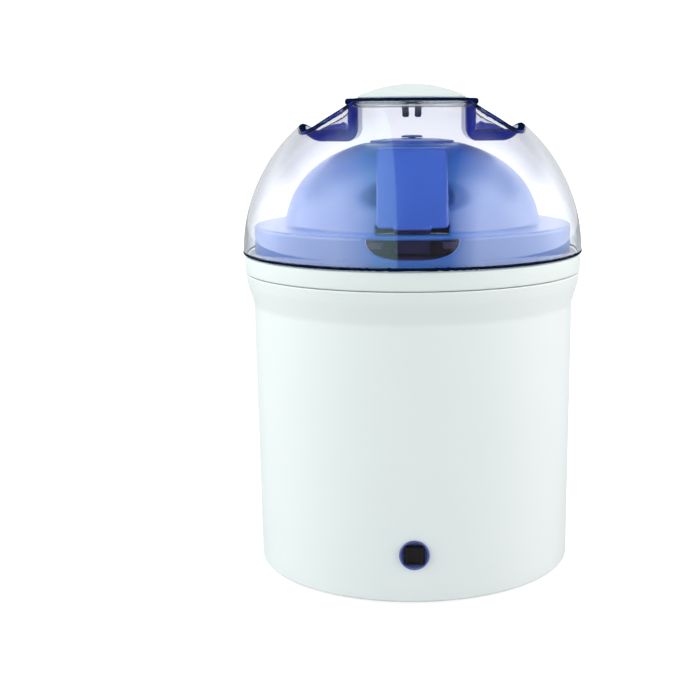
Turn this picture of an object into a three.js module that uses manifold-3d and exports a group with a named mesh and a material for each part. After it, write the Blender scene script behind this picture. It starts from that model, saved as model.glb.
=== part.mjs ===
// Yogurt maker with a heated base, a lift-out jar, a blue inner cover and a clear outer dome.
// Millimetres, +Z up. The origin is on the table under the centre, and the front faces -Y.
import * as THREE from 'three';
import { mergeVertices } from 'three/addons/utils/BufferGeometryUtils.js';
import Module from 'manifold-3d';

const wasm = await Module();
wasm.setup();

// ---- driving dimensions ----
const GAP = 0.3; // between pieces that touch
const ROUND = 40; // sides of the large round shells
const SMALL_ROUND = 16; // sides of small round pieces

const FOOT_DROP = 2; // the shell's bottom edge above the table
const RING_TOP = 152; // plane that both covers stand on
const SEAM = 142.8; // underside of the top ring
const RING_R = 80.2;
const WAIST_R = 76.5; // shell under its flared top
const FOOT_R = 75.6; // shell at the bottom
const FLARE_START = 129.7;
const HOUSING_WALL = 2.5;

const WELL_R = 60;
const WELL_WALL = 1.2;
const WELL_FLOOR = 24;
const WELL_FLANGE_R = 70.2;
const RING_SEAT_R = 70.5; // recess of the ring for the well's flange
const RING_BORE_R = 64;
const SPIGOT_R = 75.3; // the ring's collar that plugs into the shell

const JAR_R = 56;
const JAR_WALL = 2.6;
const JAR_BOTTOM = 24.6;
const JAR_TOP = 147.5;
const LID_R = 58.4;

const COVER_R = 75.3; // skirt of the inner cover
const COVER_WALL = 2;
const SHELF = RING_TOP + 13.1;
const INNER_DOME_R = 61;
const DISC_R = 20;

const DOME_RADIUS = 80.7; // outer dome, half width
const DOME_HEIGHT = 78.5; // outer dome, as if it were not cut off
const DOME_LIP_R = 81.1;
const DOME_WALL = 2.4;
const PLATEAU = RING_TOP + 71.4;
const POCKET_FLOOR = RING_TOP + 52.4;
const POCKET_WALL_X = 26;
const POCKET_HALF_Y = 31; // at its floor
const PLATEAU_HALF_X = 31.5;
const CAP_R = 25.5;
const CAP_TOP = RING_TOP + 78.1;
const CLIP_STEM_R = 3;

const BUTTON_Z = 24.5;
const BUTTON_SIZE = 8.4;
const BUTTON_TRAVEL = 2;
const BEZEL_R = 6.8;
const SWITCH_HALF = 8; // the square switch body
const SWITCH_WALL = 1.3;
const STRAP_HALF = 15.6;
const STRAP_END = RING_TOP + 15.8;
const TONGUE_HALF = 8;
const WINDOW_HALF = 19.6;
const WINDOW_LOW = RING_TOP + 3.5;

// ---- materials ----
const plastic = (color, roughness, extra = {}) =>
  new THREE.MeshStandardMaterial({ color, roughness, metalness: 0, ...extra });
const white = plastic('#f4f7f6', 0.3);
const blue = plastic('#4a63bd', 0.25);
const darkBlue = plastic('#20265c', 0.3);
const clear = plastic('#dfe2fa', 0.08, { transparent: true, opacity: 0.3 });
const jarClear = plastic('#eef3f5', 0.1, { transparent: true, opacity: 0.4 });
const black = plastic('#14141a', 0.35);
const rubber = plastic('#3a3c3f', 0.85);
const copperLead = plastic('#b5452f', 0.6);
const aluminium = new THREE.MeshStandardMaterial({ color: '#c3c7ca', roughness: 0.4, metalness: 1 });
const steel = new THREE.MeshStandardMaterial({ color: '#9a9da1', roughness: 0.35, metalness: 1 });

// ---- shape helpers ----

// A geometry as a manifold solid: positions only, merged, without flat triangles.
function toSolid(geometry) {
  const plain = geometry.clone();
  plain.deleteAttribute('normal');
  plain.deleteAttribute('uv');
  const merged = mergeVertices(plain, 1e-4);
  const index = merged.index.array;
  const triangles = [];
  for (let i = 0; i < index.length; i += 3) {
    const [a, b, c] = [index[i], index[i + 1], index[i + 2]];
    if (a !== b && b !== c && c !== a) triangles.push(a, b, c);
  }
  const vertProperties = new Float32Array(merged.attributes.position.array);
  const triVerts = new Uint32Array(triangles);
  return new wasm.Manifold(new wasm.Mesh({ numProp: 3, vertProperties, triVerts }));
}

function toGeometry(solid) {
  const mesh = solid.getMesh();
  const geometry = new THREE.BufferGeometry();
  geometry.setAttribute('position', new THREE.BufferAttribute(mesh.vertProperties, 3));
  geometry.setIndex(new THREE.BufferAttribute(mesh.triVerts, 1));
  return geometry;
}

const cut = (body, ...tools) => tools.reduce((left, tool) => left.subtract(tool), body);
const join = (body, ...others) => others.reduce((left, other) => left.add(other), body);

// A solid of revolution about Z, from [radius, height] points that run up the outside.
function revolve(profile, sides = ROUND) {
  const points = profile.map(([r, z]) => new THREE.Vector2(r, z));
  return toSolid(new THREE.LatheGeometry(points, sides).rotateX(Math.PI / 2));
}

// The same for a ring-shaped section that doesn't meet the axis.
const revolveRing = (profile, sides = ROUND) => revolve([...profile, profile[0]], sides);

// A box between two corners.
function box([x0, y0, z0], [x1, y1, z1]) {
  const geometry = new THREE.BoxGeometry(x1 - x0, y1 - y0, z1 - z0);
  return toSolid(geometry.translate((x0 + x1) / 2, (y0 + y1) / 2, (z0 + z1) / 2));
}

// A cylinder from z0 to z1 at a place on the table plane.
function post(r, z0, z1, x = 0, y = 0, sides = SMALL_ROUND) {
  const geometry = new THREE.CylinderGeometry(r, r, z1 - z0, sides).rotateX(Math.PI / 2);
  return toSolid(geometry.translate(x, y, (z0 + z1) / 2));
}

// A cylinder along Y from y0 to y1, at height z.
function plugY(r, y0, y1, z, x = 0, sides = 24) {
  const geometry = new THREE.CylinderGeometry(r, r, y1 - y0, sides);
  return toSolid(geometry.translate(x, (y0 + y1) / 2, z));
}

// A square bar along Y with rounded corners.
function squareY(half, corner, y0, y1, z) {
  const shape = new THREE.Shape();
  shape.moveTo(half - corner, -half);
  shape.absarc(half - corner, -half + corner, corner, -Math.PI / 2, 0);
  shape.absarc(half - corner, half - corner, corner, 0, Math.PI / 2);
  shape.absarc(-half + corner, half - corner, corner, Math.PI / 2, Math.PI);
  shape.absarc(-half + corner, -half + corner, corner, Math.PI, Math.PI * 1.5);
  const settings = { depth: y1 - y0, bevelEnabled: false, curveSegments: 3 };
  return toSolid(new THREE.ExtrudeGeometry(shape, settings).rotateX(Math.PI / 2).translate(0, y1, z));
}

// An outline in the XZ plane, drawn out from -halfY to halfY.
function slabXZ(points, halfY) {
  const shape = new THREE.Shape(points.map(([x, z]) => new THREE.Vector2(x, z)));
  const settings = { depth: 2 * halfY, bevelEnabled: false };
  return new THREE.ExtrudeGeometry(shape, settings).rotateX(Math.PI / 2).translate(0, halfY, 0);
}

// A bar of round section along a smooth route.
function lead(route, r) {
  const section = new THREE.Shape();
  section.absarc(0, 0, r, 0, Math.PI * 2);
  const path = new THREE.CatmullRomCurve3(route.map((p) => new THREE.Vector3(...p)));
  const settings = { steps: 10, extrudePath: path, curveSegments: 4, bevelEnabled: false };
  return toSolid(new THREE.ExtrudeGeometry(section, settings));
}

// Points of an upright ellipse between two heights, from the lower one up.
function ellipseArc(halfWidth, halfHeight, base, low, high, steps) {
  const start = Math.asin((low - base) / halfHeight);
  const end = Math.asin((high - base) / halfHeight);
  const points = [];
  for (let i = 0; i <= steps; i += 1) {
    const angle = start + ((end - start) * i) / steps;
    points.push([halfWidth * Math.cos(angle), base + halfHeight * Math.sin(angle)]);
  }
  return points;
}

const object = new THREE.Group();

function add(name, solid, material) {
  const mesh = new THREE.Mesh(toGeometry(solid), material);
  mesh.name = name;
  object.add(mesh);
}

// ---- base ----
const BOSS_CENTRE_R = 68.5;
const BOSS_R = 5;
const SCREW_HOLE_R = 1.8;
const COVER_BOTTOM = FOOT_DROP + GAP;
const COVER_TOP = COVER_BOTTOM + 3.5;
const SCREW_TIP = 16;
const PAD_R = 7; // rubber foot
const PEG_R = 2.2; // the foot's peg, pushed through the bottom cover
const FOOT_CENTRE_R = 55;
const CORNERS = [1, 3, 5, 7].map((k) => (k * Math.PI) / 4);
const GLAND_Z = 14;
const GLAND_R = 5;

const aroundZ = (angle, radius) => [radius * Math.cos(angle), radius * Math.sin(angle)];

function outerHousing() {
  const inner = FOOT_R - HOUSING_WALL;
  const shell = revolveRing([
    [inner, FOOT_DROP],
    [FOOT_R - 2, FOOT_DROP],
    [FOOT_R - 0.6, FOOT_DROP + 0.6],
    [FOOT_R, FOOT_DROP + 2],
    [WAIST_R, FLARE_START - 3],
    [WAIST_R + 0.5, FLARE_START],
    [WAIST_R + 2.2, FLARE_START + 5],
    [RING_R - 0.3, SEAM - 3],
    [RING_R, SEAM - GAP],
    [RING_R - HOUSING_WALL, SEAM - GAP],
    [RING_R - HOUSING_WALL - 0.6, SEAM - 3],
    [WAIST_R - HOUSING_WALL + 0.5, FLARE_START],
    [WAIST_R - HOUSING_WALL, FLARE_START - 3],
  ]);
  const bosses = CORNERS.map((angle) => {
    const [x, y] = aroundZ(angle, BOSS_CENTRE_R);
    const hole = post(SCREW_HOLE_R, COVER_TOP, SCREW_TIP + 2, x, y, 12);
    return cut(post(BOSS_R, COVER_TOP + GAP, SCREW_TIP + 8, x, y), hole);
  });
  const buttonHole = plugY(BEZEL_R - 0.25, -80, -70, BUTTON_Z);
  const glandHole = plugY(GLAND_R + GAP, 70, 80, GLAND_Z);
  return cut(join(shell, ...bosses), buttonHole, glandHole);
}

function topRing() {
  return revolveRing([
    [SPIGOT_R - 1.8, SEAM - 5.5],
    [SPIGOT_R, SEAM - 5.5],
    [SPIGOT_R, SEAM],
    [RING_R - 0.3, SEAM],
    [RING_R, SEAM + 0.6],
    [RING_R, RING_TOP - 1.6],
    [RING_R - 0.7, RING_TOP - 0.8],
    [DOME_RADIUS - DOME_WALL - 0.5, RING_TOP - 0.8],
    [DOME_RADIUS - DOME_WALL - 0.8, RING_TOP],
    [RING_SEAT_R, RING_TOP],
    [RING_SEAT_R, RING_TOP - 1.8],
    [RING_BORE_R, RING_TOP - 1.8],
    [RING_BORE_R, RING_TOP - 4.5],
    [SPIGOT_R - 1.8, RING_TOP - 4.5],
  ]);
}

function heatingWell() {
  const under = RING_TOP - 1.5;
  return revolve([
    [0, WELL_FLOOR - WELL_WALL],
    [WELL_R - 3, WELL_FLOOR - WELL_WALL],
    [WELL_R + WELL_WALL, WELL_FLOOR + 3],
    [WELL_R + WELL_WALL, under],
    [WELL_FLANGE_R, under],
    [WELL_FLANGE_R, RING_TOP - GAP],
    [WELL_R, RING_TOP - GAP],
    [WELL_R, WELL_FLOOR + 3],
    [WELL_R - 3, WELL_FLOOR],
    [0, WELL_FLOOR],
  ]);
}

function bottomCover() {
  const plate = post(FOOT_R - HOUSING_WALL - GAP, COVER_BOTTOM, COVER_TOP, 0, 0, ROUND);
  const holes = CORNERS.flatMap((angle) => {
    const [sx, sy] = aroundZ(angle, BOSS_CENTRE_R);
    const [fx, fy] = aroundZ(angle, FOOT_CENTRE_R);
    return [
      post(SCREW_HOLE_R, COVER_BOTTOM - 1, COVER_TOP + 1, sx, sy, 12),
      post(3.2, COVER_BOTTOM - 1, COVER_BOTTOM + 2, sx, sy, 12),
      post(PEG_R + GAP, COVER_BOTTOM - 1, COVER_TOP + 1, fx, fy, 12),
    ];
  });
  return cut(plate, ...holes);
}

function foot(angle) {
  const [x, y] = aroundZ(angle, FOOT_CENTRE_R);
  const pad = post(PAD_R, 0, FOOT_DROP, x, y);
  return join(pad, post(PEG_R, FOOT_DROP - 0.5, COVER_TOP + 1.5, x, y, 12));
}

function screw(angle) {
  const [x, y] = aroundZ(angle, BOSS_CENTRE_R);
  const head = post(2.8, COVER_BOTTOM, COVER_BOTTOM + 1.7, x, y, 12);
  const slot = box([x - 0.4, y - 2, COVER_BOTTOM - 1], [x + 0.4, y + 2, COVER_BOTTOM + 0.8]);
  return cut(join(head, post(1.5, COVER_BOTTOM + 1, SCREW_TIP, x, y, 12)), slot);
}

add('outer_housing', outerHousing(), white);
add('top_ring', topRing(), white);
add('heating_well', heatingWell(), aluminium);
add('bottom_cover', bottomCover(), white);
CORNERS.forEach((angle, i) => add(`foot_${i + 1}`, foot(angle), rubber));
CORNERS.forEach((angle, i) => add(`screw_${i + 1}`, screw(angle), steel));

// The gland grips a flat two-core lead.
function cordGland() {
  const flange = plugY(7, FOOT_R + 0.6, FOOT_R + 2, GLAND_Z);
  const barrel = plugY(GLAND_R, 70.5, FOOT_R + 1, GLAND_Z);
  const bore = box([-2.9, 68, GLAND_Z - 1.8], [2.9, 80, GLAND_Z + 1.8]);
  return cut(join(flange, barrel), bore);
}
add('cord_gland', cordGland(), rubber);

// ---- heater and wiring, in the space under the well ----
const PLATE_TOP = WELL_FLOOR - WELL_WALL - GAP;
const PLATE_BOTTOM = PLATE_TOP - 2;
const ELEMENT_R = 32;
const ELEMENT_THICK = 3;

function ring(r, thick, z) {
  const geometry = new THREE.TorusGeometry(r, thick, 8, 24);
  return toSolid(geometry.translate(0, 0, z));
}

function thermalFuse() {
  const geometry = new THREE.CylinderGeometry(2, 2, 14, 12).rotateZ(Math.PI / 2);
  return toSolid(geometry.translate(0, 18, PLATE_BOTTOM - GAP - 2));
}

const blockLow = [-11, 44, COVER_TOP + GAP];
const blockHigh = [11, 54, COVER_TOP + 10];
add('heater_plate', post(50, PLATE_BOTTOM, PLATE_TOP, 0, 0, 32), aluminium);
add('heater_element', ring(ELEMENT_R, ELEMENT_THICK, PLATE_BOTTOM - GAP - ELEMENT_THICK), steel);
add('thermostat', post(8, PLATE_BOTTOM - 7, PLATE_BOTTOM - GAP), black);
add('thermal_fuse', thermalFuse(), steel);
add('terminal_block', box(blockLow, blockHigh), white);

const LEAD_R = 1;
const LEAD_Z = COVER_TOP + 3;
const leadRoutes = {
  lead_switch: [
    [4, -67.5, BUTTON_Z - SWITCH_HALF - 1.6],
    [4.5, -66.5, 11],
    [8, -55, LEAD_Z],
    [16, -20, LEAD_Z],
    [14, 20, LEAD_Z],
    [6, 43.5, LEAD_Z + 1],
  ],
  lead_heater: [
    [-4, -67.5, BUTTON_Z - SWITCH_HALF - 1.6],
    [-4.5, -66.5, 11],
    [-7, -50, LEAD_Z],
    [-6, -25, LEAD_Z + 1],
    [-3, -9.6, PLATE_BOTTOM - 5],
  ],
  lead_inlet: [
    [-6, 43.5, LEAD_Z + 1],
    [-8, 36, LEAD_Z],
    [-12, 26, LEAD_Z + 1],
    [-9.5, 20, PLATE_BOTTOM - GAP - 2],
  ],
};
for (const [name, route] of Object.entries(leadRoutes)) add(name, lead(route, LEAD_R), copperLead);

// ---- power button ----
const BEZEL_BACK = -FOOT_R - 0.4;
const BEZEL_FRONT = BEZEL_BACK - 1.2;
const BUTTON_FACE = BEZEL_FRONT - 0.5;
const BUTTON_BACK = -70;
const SWITCH_FRONT = BUTTON_BACK + BUTTON_TRAVEL + GAP;

function buttonBezel() {
  const flange = plugY(BEZEL_R, BEZEL_FRONT, BEZEL_BACK, BUTTON_Z);
  const barrel = plugY(BEZEL_R - 0.55, BEZEL_BACK - 0.2, BUTTON_BACK - 1.6, BUTTON_Z);
  return cut(join(flange, barrel), squareY(BUTTON_SIZE / 2 + 0.25, 1.2, -80, -70, BUTTON_Z));
}

// A square key with a dished face and a flange that keeps it behind the bezel.
function powerButton() {
  const key = squareY(BUTTON_SIZE / 2, 1, BUTTON_FACE, BUTTON_BACK - 0.5, BUTTON_Z);
  const flange = squareY(BUTTON_SIZE / 2 + 1.4, 1, BUTTON_BACK - 1.2, BUTTON_BACK, BUTTON_Z);
  const dishR = 14;
  const roller = new THREE.CylinderGeometry(dishR, dishR, 20, 48).rotateZ(Math.PI / 2);
  const dish = toSolid(roller.translate(0, BUTTON_FACE - dishR + 0.5, BUTTON_Z));
  return cut(join(key, flange), dish);
}

function switchBody() {
  const back = -63.2;
  const low = BUTTON_Z - SWITCH_HALF;
  const inner = SWITCH_HALF - SWITCH_WALL;
  const shell = box([-SWITCH_HALF, -72.3, low], [SWITCH_HALF, back, BUTTON_Z + SWITCH_HALF]);
  const hollow = box([-inner, -74, BUTTON_Z - inner], [inner, SWITCH_FRONT, BUTTON_Z + inner]);
  return cut(shell, hollow);
}

add('button_bezel', buttonBezel(), darkBlue);
add('power_button', powerButton(), black);
add('switch_body', switchBody(), black);

// ---- jar ----
function jar() {
  return revolve([
    [0, JAR_BOTTOM],
    [JAR_R - 5, JAR_BOTTOM],
    [JAR_R - 1.4, JAR_BOTTOM + 1.6],
    [JAR_R, JAR_BOTTOM + 5],
    [JAR_R, JAR_TOP],
    [JAR_R - JAR_WALL, JAR_TOP],
    [JAR_R - JAR_WALL, JAR_BOTTOM + 6],
    [JAR_R - 6, JAR_BOTTOM + 3],
    [0, JAR_BOTTOM + 3],
  ]);
}

function jarLid() {
  const under = JAR_TOP + GAP;
  return revolve([
    [0, under],
    [JAR_R + GAP, under],
    [JAR_R + GAP, under - 8],
    [LID_R, under - 8],
    [LID_R, under + 1],
    [LID_R - 1, under + 2],
    [14, under + 2],
    [12, under + 4],
    [12, under + 8],
    [10.5, under + 9.5],
    [0, under + 9.5],
  ]);
}

add('jar', jar(), jarClear);
add('jar_lid', jarLid(), white);

// ---- inner cover ----
// The dome's outline, from the shelf up to the seat of the disc.
const INNER_DOME = [
  [INNER_DOME_R, SHELF],
  [59.1, RING_TOP + 20.5],
  [55, RING_TOP + 28.8],
  [48.4, RING_TOP + 37.4],
  [39.9, RING_TOP + 44.1],
  [30.3, RING_TOP + 48.6],
  [24, RING_TOP + 50.3],
];
const DISC_SEAT = RING_TOP + 49.4;
const DISC_SEAT_R = 22.5;
const DISC_TOP = RING_TOP + 52.9;
const HUB_HOLE_R = 2;
const RECESS_Z = RING_TOP + 30.5;
const SLOT_HALF = STRAP_HALF + 0.4; // the slot in the dome's foot, under the strap's end
const SLOT_TOP = SHELF + 4;
const TONGUE_FRONT = -57;
const TONGUE_BACK = TONGUE_FRONT + 2;

// The same outline, moved out (or in, when negative) square to itself.
function offsetOutline(outline, distance) {
  return outline.map(([r, z], i) => {
    const [r0, z0] = outline[Math.max(i - 1, 0)];
    const [r1, z1] = outline[Math.min(i + 1, outline.length - 1)];
    const length = Math.hypot(r1 - r0, z1 - z0);
    return [r + ((z1 - z0) / length) * distance, z - ((r1 - r0) / length) * distance];
  });
}

// The oval dish behind the strap, grown by a margin.
function fingerDish(margin) {
  const [halfX, halfY, halfZ] = [24.1 + margin, 9 + margin, 7.4 + margin];
  const geometry = new THREE.SphereGeometry(1, 20, 10).scale(halfX, halfY, halfZ);
  return toSolid(geometry.translate(0, -54, RECESS_Z));
}

function innerCover() {
  const bottom = RING_TOP + GAP;
  const outside = revolve([
    [0, bottom],
    [COVER_R, bottom],
    [COVER_R, SHELF - 1],
    [COVER_R - 1, SHELF],
    ...INNER_DOME,
    [DISC_SEAT_R, DISC_SEAT],
    [0, DISC_SEAT],
  ]);
  const inside = revolve([
    [0, bottom - 1],
    [COVER_R - COVER_WALL, bottom - 1],
    [COVER_R - COVER_WALL, SHELF - COVER_WALL],
    [INNER_DOME_R - COVER_WALL, SHELF - COVER_WALL],
    ...offsetOutline(INNER_DOME.slice(1, -1), -COVER_WALL),
    [DISC_SEAT_R, DISC_SEAT - COVER_WALL],
    [0, DISC_SEAT - COVER_WALL],
  ]);
  const shell = cut(cut(outside, fingerDish(0)), cut(inside, fingerDish(COVER_WALL)));
  const frontWindow = box([-WINDOW_HALF, -80, WINDOW_LOW], [WINDOW_HALF, -70, SHELF - COVER_WALL - 0.2]);
  const slot = box([-SLOT_HALF, -INNER_DOME_R - 1, SHELF], [SLOT_HALF, -50, SLOT_TOP]);
  const hubHole = post(HUB_HOLE_R, DISC_SEAT - 5, DISC_SEAT + 1);
  return cut(shell, frontWindow, slot, hubHole);
}

// The strap's lower end hooks in through the slot and runs down behind the window as a tongue.
function strapHandle() {
  const face = [...INNER_DOME.slice(0, -1), [26, RING_TOP + 49.9]];
  const band = revolveRing([...offsetOutline(face, 2.7), ...offsetOutline(face, GAP).reverse()]);
  const frame = box([-STRAP_HALF, -70, STRAP_END], [STRAP_HALF, -20, PLATEAU]);
  const hookTop = SLOT_TOP - GAP;
  const hook = box([-TONGUE_HALF, -INNER_DOME_R - 2, hookTop - 1.8], [TONGUE_HALF, TONGUE_BACK, hookTop]);
  const tongue = box([-TONGUE_HALF, TONGUE_FRONT, WINDOW_LOW + 1.6], [TONGUE_HALF, TONGUE_BACK, hookTop]);
  return join(band.intersect(frame), hook, tongue);
}

// An open tray behind the window in the skirt.
function latchPocket() {
  const top = SHELF - COVER_WALL - GAP;
  const back = TONGUE_BACK + 0.6;
  const block = box([-WINDOW_HALF - 1, -74, WINDOW_LOW - 1.5], [WINDOW_HALF + 1, back + 1.2, top]);
  const bounds = post(COVER_R - COVER_WALL - GAP, RING_TOP, RING_TOP + 20, 0, 0, ROUND);
  const hollow = box([-WINDOW_HALF + 0.5, -80, WINDOW_LOW], [WINDOW_HALF - 0.5, back, top + 1]);
  return cut(block.intersect(bounds), hollow);
}

function ventDisc() {
  const low = DISC_SEAT + GAP;
  const disc = revolve([
    [0, low],
    [DISC_R, low],
    [DISC_R, low + 1.7],
    [DISC_R - 0.6, DISC_TOP - 1],
    [DISC_R / 2, DISC_TOP - 0.2],
    [0, DISC_TOP],
  ]);
  return cut(disc, post(HUB_HOLE_R, low - 1, DISC_TOP + 1));
}

function discHub() {
  const head = post(5, DISC_TOP + GAP, DISC_TOP + 1.4);
  const stem = post(HUB_HOLE_R - GAP, DISC_SEAT - 4, DISC_TOP + 0.5, 0, 0, 12);
  return join(head, stem);
}

add('inner_cover', innerCover(), blue);
add('strap_handle', strapHandle(), blue);
add('latch_pocket', latchPocket(), darkBlue);
add('vent_disc', ventDisc(), blue);
add('disc_hub', discHub(), blue);

// ---- outer dome ----
// A finger pocket on the +X side. Its walls lean in towards the plateau.
function fingerPocket(margin) {
  const wall = POCKET_WALL_X - margin;
  const floor = POCKET_FLOOR - margin;
  const outline = [
    [wall, floor + 3.2],
    [wall + 1.2, floor + 0.9],
    [wall + 4, floor],
    [42 + margin / 2, floor],
    [48.7 + margin, floor + 2.6],
    [51.1 + margin, floor + 7],
    [62, floor + 12],
    [62, floor + 40],
    [wall, floor + 40],
  ];
  const geometry = slabXZ(outline, 1);
  const place = geometry.attributes.position;
  for (let i = 0; i < place.count; i += 1) {
    const rise = Math.min(Math.max((place.getZ(i) - POCKET_FLOOR) / (PLATEAU - POCKET_FLOOR), 0), 1.6);
    place.setY(i, place.getY(i) * (POCKET_HALF_Y - 6 * rise + margin));
  }
  return geometry;
}

const mirrored = (geometry) => geometry.clone().rotateZ(Math.PI);

// The plateau's outline: its sides bulge over the pockets as a lip for the fingers.
function plateauLip() {
  const bulgeR = 71.7;
  const halfAngle = Math.asin(30 / bulgeR);
  const shape = new THREE.Shape();
  shape.absarc(PLATEAU_HALF_X - bulgeR, 0, bulgeR, -halfAngle, halfAngle);
  shape.absarc(bulgeR - PLATEAU_HALF_X, 0, bulgeR, Math.PI - halfAngle, Math.PI + halfAngle);
  const settings = { depth: DOME_WALL, bevelEnabled: false, curveSegments: 6 };
  return toSolid(new THREE.ExtrudeGeometry(shape, settings).translate(0, 0, PLATEAU - DOME_WALL));
}

function domeCover() {
  const bottom = RING_TOP - 0.8 + GAP;
  const outside = revolve([
    [0, bottom],
    [DOME_LIP_R, bottom],
    [DOME_LIP_R - 0.1, bottom + 1],
    ...ellipseArc(DOME_RADIUS, DOME_HEIGHT, RING_TOP, RING_TOP + 3, PLATEAU, 8),
    [0, PLATEAU],
  ]);
  const innerTop = PLATEAU - DOME_WALL;
  const inside = revolve([
    [0, bottom - 1],
    [DOME_RADIUS - DOME_WALL, bottom - 1],
    ...ellipseArc(DOME_RADIUS - DOME_WALL, DOME_HEIGHT - DOME_WALL, RING_TOP, RING_TOP + 1, innerTop, 8),
    [0, innerTop],
  ]);
  const pocket = fingerPocket(0);
  const pocketSkin = fingerPocket(DOME_WALL);
  const skin = cut(outside, toSolid(pocket), toSolid(mirrored(pocket)));
  const withLip = join(skin, plateauLip().intersect(outside));
  const hollow = cut(inside, toSolid(pocketSkin), toSolid(mirrored(pocketSkin)));
  return cut(withLip, hollow, post(CLIP_STEM_R + GAP, innerTop - 2, PLATEAU + 2));
}

function cap() {
  const low = PLATEAU + GAP;
  const rim = low + 0.9;
  const crown = [];
  const steps = 5;
  for (let i = 0; i <= steps; i += 1) {
    const r = CAP_R * Math.cos((i / steps) * (Math.PI / 2));
    crown.push([i === steps ? 0 : r, rim + (CAP_TOP - rim) * (1 - (r / CAP_R) ** 2)]);
  }
  return revolve([[0, low], [CAP_R, low], ...crown], 32);
}

// A collar with two prongs, on a stem through the plateau.
function capClip() {
  const underside = PLATEAU - DOME_WALL - GAP;
  const collar = post(5.7, underside - 1.2, underside);
  const stem = post(CLIP_STEM_R, underside - 0.5, PLATEAU);
  const prongs = [-1, 1].map((side) => {
    const x = side * 2.9;
    return box([x - 1.6, -2.2, RING_TOP + 62.6], [x + 1.6, 2.2, underside - 0.6]);
  });
  return join(collar, stem, ...prongs);
}

add('dome_cover', domeCover(), clear);
add('cap', cap(), white);
add('cap_clip', capClip(), darkBlue);

export default object;
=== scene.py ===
"""Yogurt maker: visible pieces, materials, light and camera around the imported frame.

Metres, +Z up, the front faces -Y. A size in millimetres carries the factor MM. "Rise" is a height above
the plane that both covers stand on, the top of the white ring.
"""
import math

import bmesh
import bpy
import numpy as np
from mathutils import Matrix, Vector


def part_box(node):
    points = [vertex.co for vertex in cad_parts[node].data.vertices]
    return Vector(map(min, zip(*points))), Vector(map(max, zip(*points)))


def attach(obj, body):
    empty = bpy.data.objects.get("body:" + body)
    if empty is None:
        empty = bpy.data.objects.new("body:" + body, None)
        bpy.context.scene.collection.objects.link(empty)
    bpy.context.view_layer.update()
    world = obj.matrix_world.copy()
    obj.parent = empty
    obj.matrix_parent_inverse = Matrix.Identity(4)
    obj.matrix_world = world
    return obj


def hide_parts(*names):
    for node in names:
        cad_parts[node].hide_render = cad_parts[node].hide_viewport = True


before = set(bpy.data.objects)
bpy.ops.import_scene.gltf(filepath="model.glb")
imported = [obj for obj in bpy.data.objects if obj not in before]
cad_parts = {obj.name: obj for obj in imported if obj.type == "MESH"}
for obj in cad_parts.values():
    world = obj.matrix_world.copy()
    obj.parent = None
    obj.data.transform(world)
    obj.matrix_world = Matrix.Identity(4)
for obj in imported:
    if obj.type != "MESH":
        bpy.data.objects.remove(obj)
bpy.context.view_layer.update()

MM = 0.001
ROUND = 192  # sides of a large turned shell


# ---- sizes read from the frame ----
def low_of(node):
    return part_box(node)[0]


def high_of(node):
    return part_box(node)[1]


RING_TOP = high_of("top_ring")[2]
SEAM = high_of("outer_housing")[2]
SHELL_LOW = low_of("outer_housing")[2]
RING_R = high_of("top_ring")[0]
DOME_LIP_R = high_of("dome_cover")[0]
DOME_LOW = low_of("dome_cover")[2]
PLATEAU = high_of("dome_cover")[2]
COVER_R = high_of("inner_cover")[0]
COVER_LOW = low_of("inner_cover")[2]
BUTTON = (Vector(low_of("power_button")) + Vector(high_of("power_button"))) / 2
STRAP_HALF = high_of("strap_handle")[0]

SHELL_FOOT_R = 75.6 * MM
SHELL_WAIST_R = 76.5 * MM
FLARE_START = SEAM - 12.8 * MM
DOME_R = 80.7 * MM  # outer dome: half width and, were it whole, height
DOME_TALL = 78.5 * MM
DOME_WALL = 1.7 * MM
INNER_R = 61 * MM  # inner dome: a superellipse of revolution
INNER_TALL = 45 * MM
INNER_BASE = 8 * MM
INNER_POWER = 2.2
SHELF_RISE = 13.1 * MM
COVER_WALL = 2 * MM


# ---- mesh helpers ----
def new_object(name, mesh, materials):
    piece = bpy.data.objects.new(name, mesh)
    bpy.context.scene.collection.objects.link(piece)
    for entry in materials if isinstance(materials, (list, tuple)) else [materials]:
        mesh.materials.append(entry)
    return piece


def shade(mesh, angle=32):
    """Smooth shading, sharp only where faces meet at more than the angle."""
    mesh.polygons.foreach_set("use_smooth", [True] * len(mesh.polygons))
    mesh.set_sharp_from_angle(angle=math.radians(angle))


def settle(piece, body, slot, *nodes):
    """Says what a finished piece rides on and which CAD nodes it stands for. slot, where its finish comes
    from, is not used.
    """
    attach(piece, body)
    if nodes:
        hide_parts(*nodes)
    return piece


def rounded(profile, steps=5):
    """A closed (r, z) outline from (r, z, corner radius) points, with each corner turned into an arc."""
    outline = []
    count = len(profile)
    for i, (r, z, radius) in enumerate(profile):
        here = Vector((r, z))
        before = Vector(profile[i - 1][:2]) - here
        after = Vector(profile[(i + 1) % count][:2]) - here
        if radius <= 0 or r <= 0:
            outline.append((r, z))
            continue
        half = before.angle(after) / 2
        reach = min(radius / math.tan(half), 0.49 * before.length, 0.49 * after.length)
        start = here + before.normalized() * reach
        end = here + after.normalized() * reach
        for k in range(steps + 1):
            t = k / steps
            point = start * (1 - t) ** 2 + here * 2 * t * (1 - t) + end * t ** 2
            outline.append((point.x, point.y))
    return outline


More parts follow.
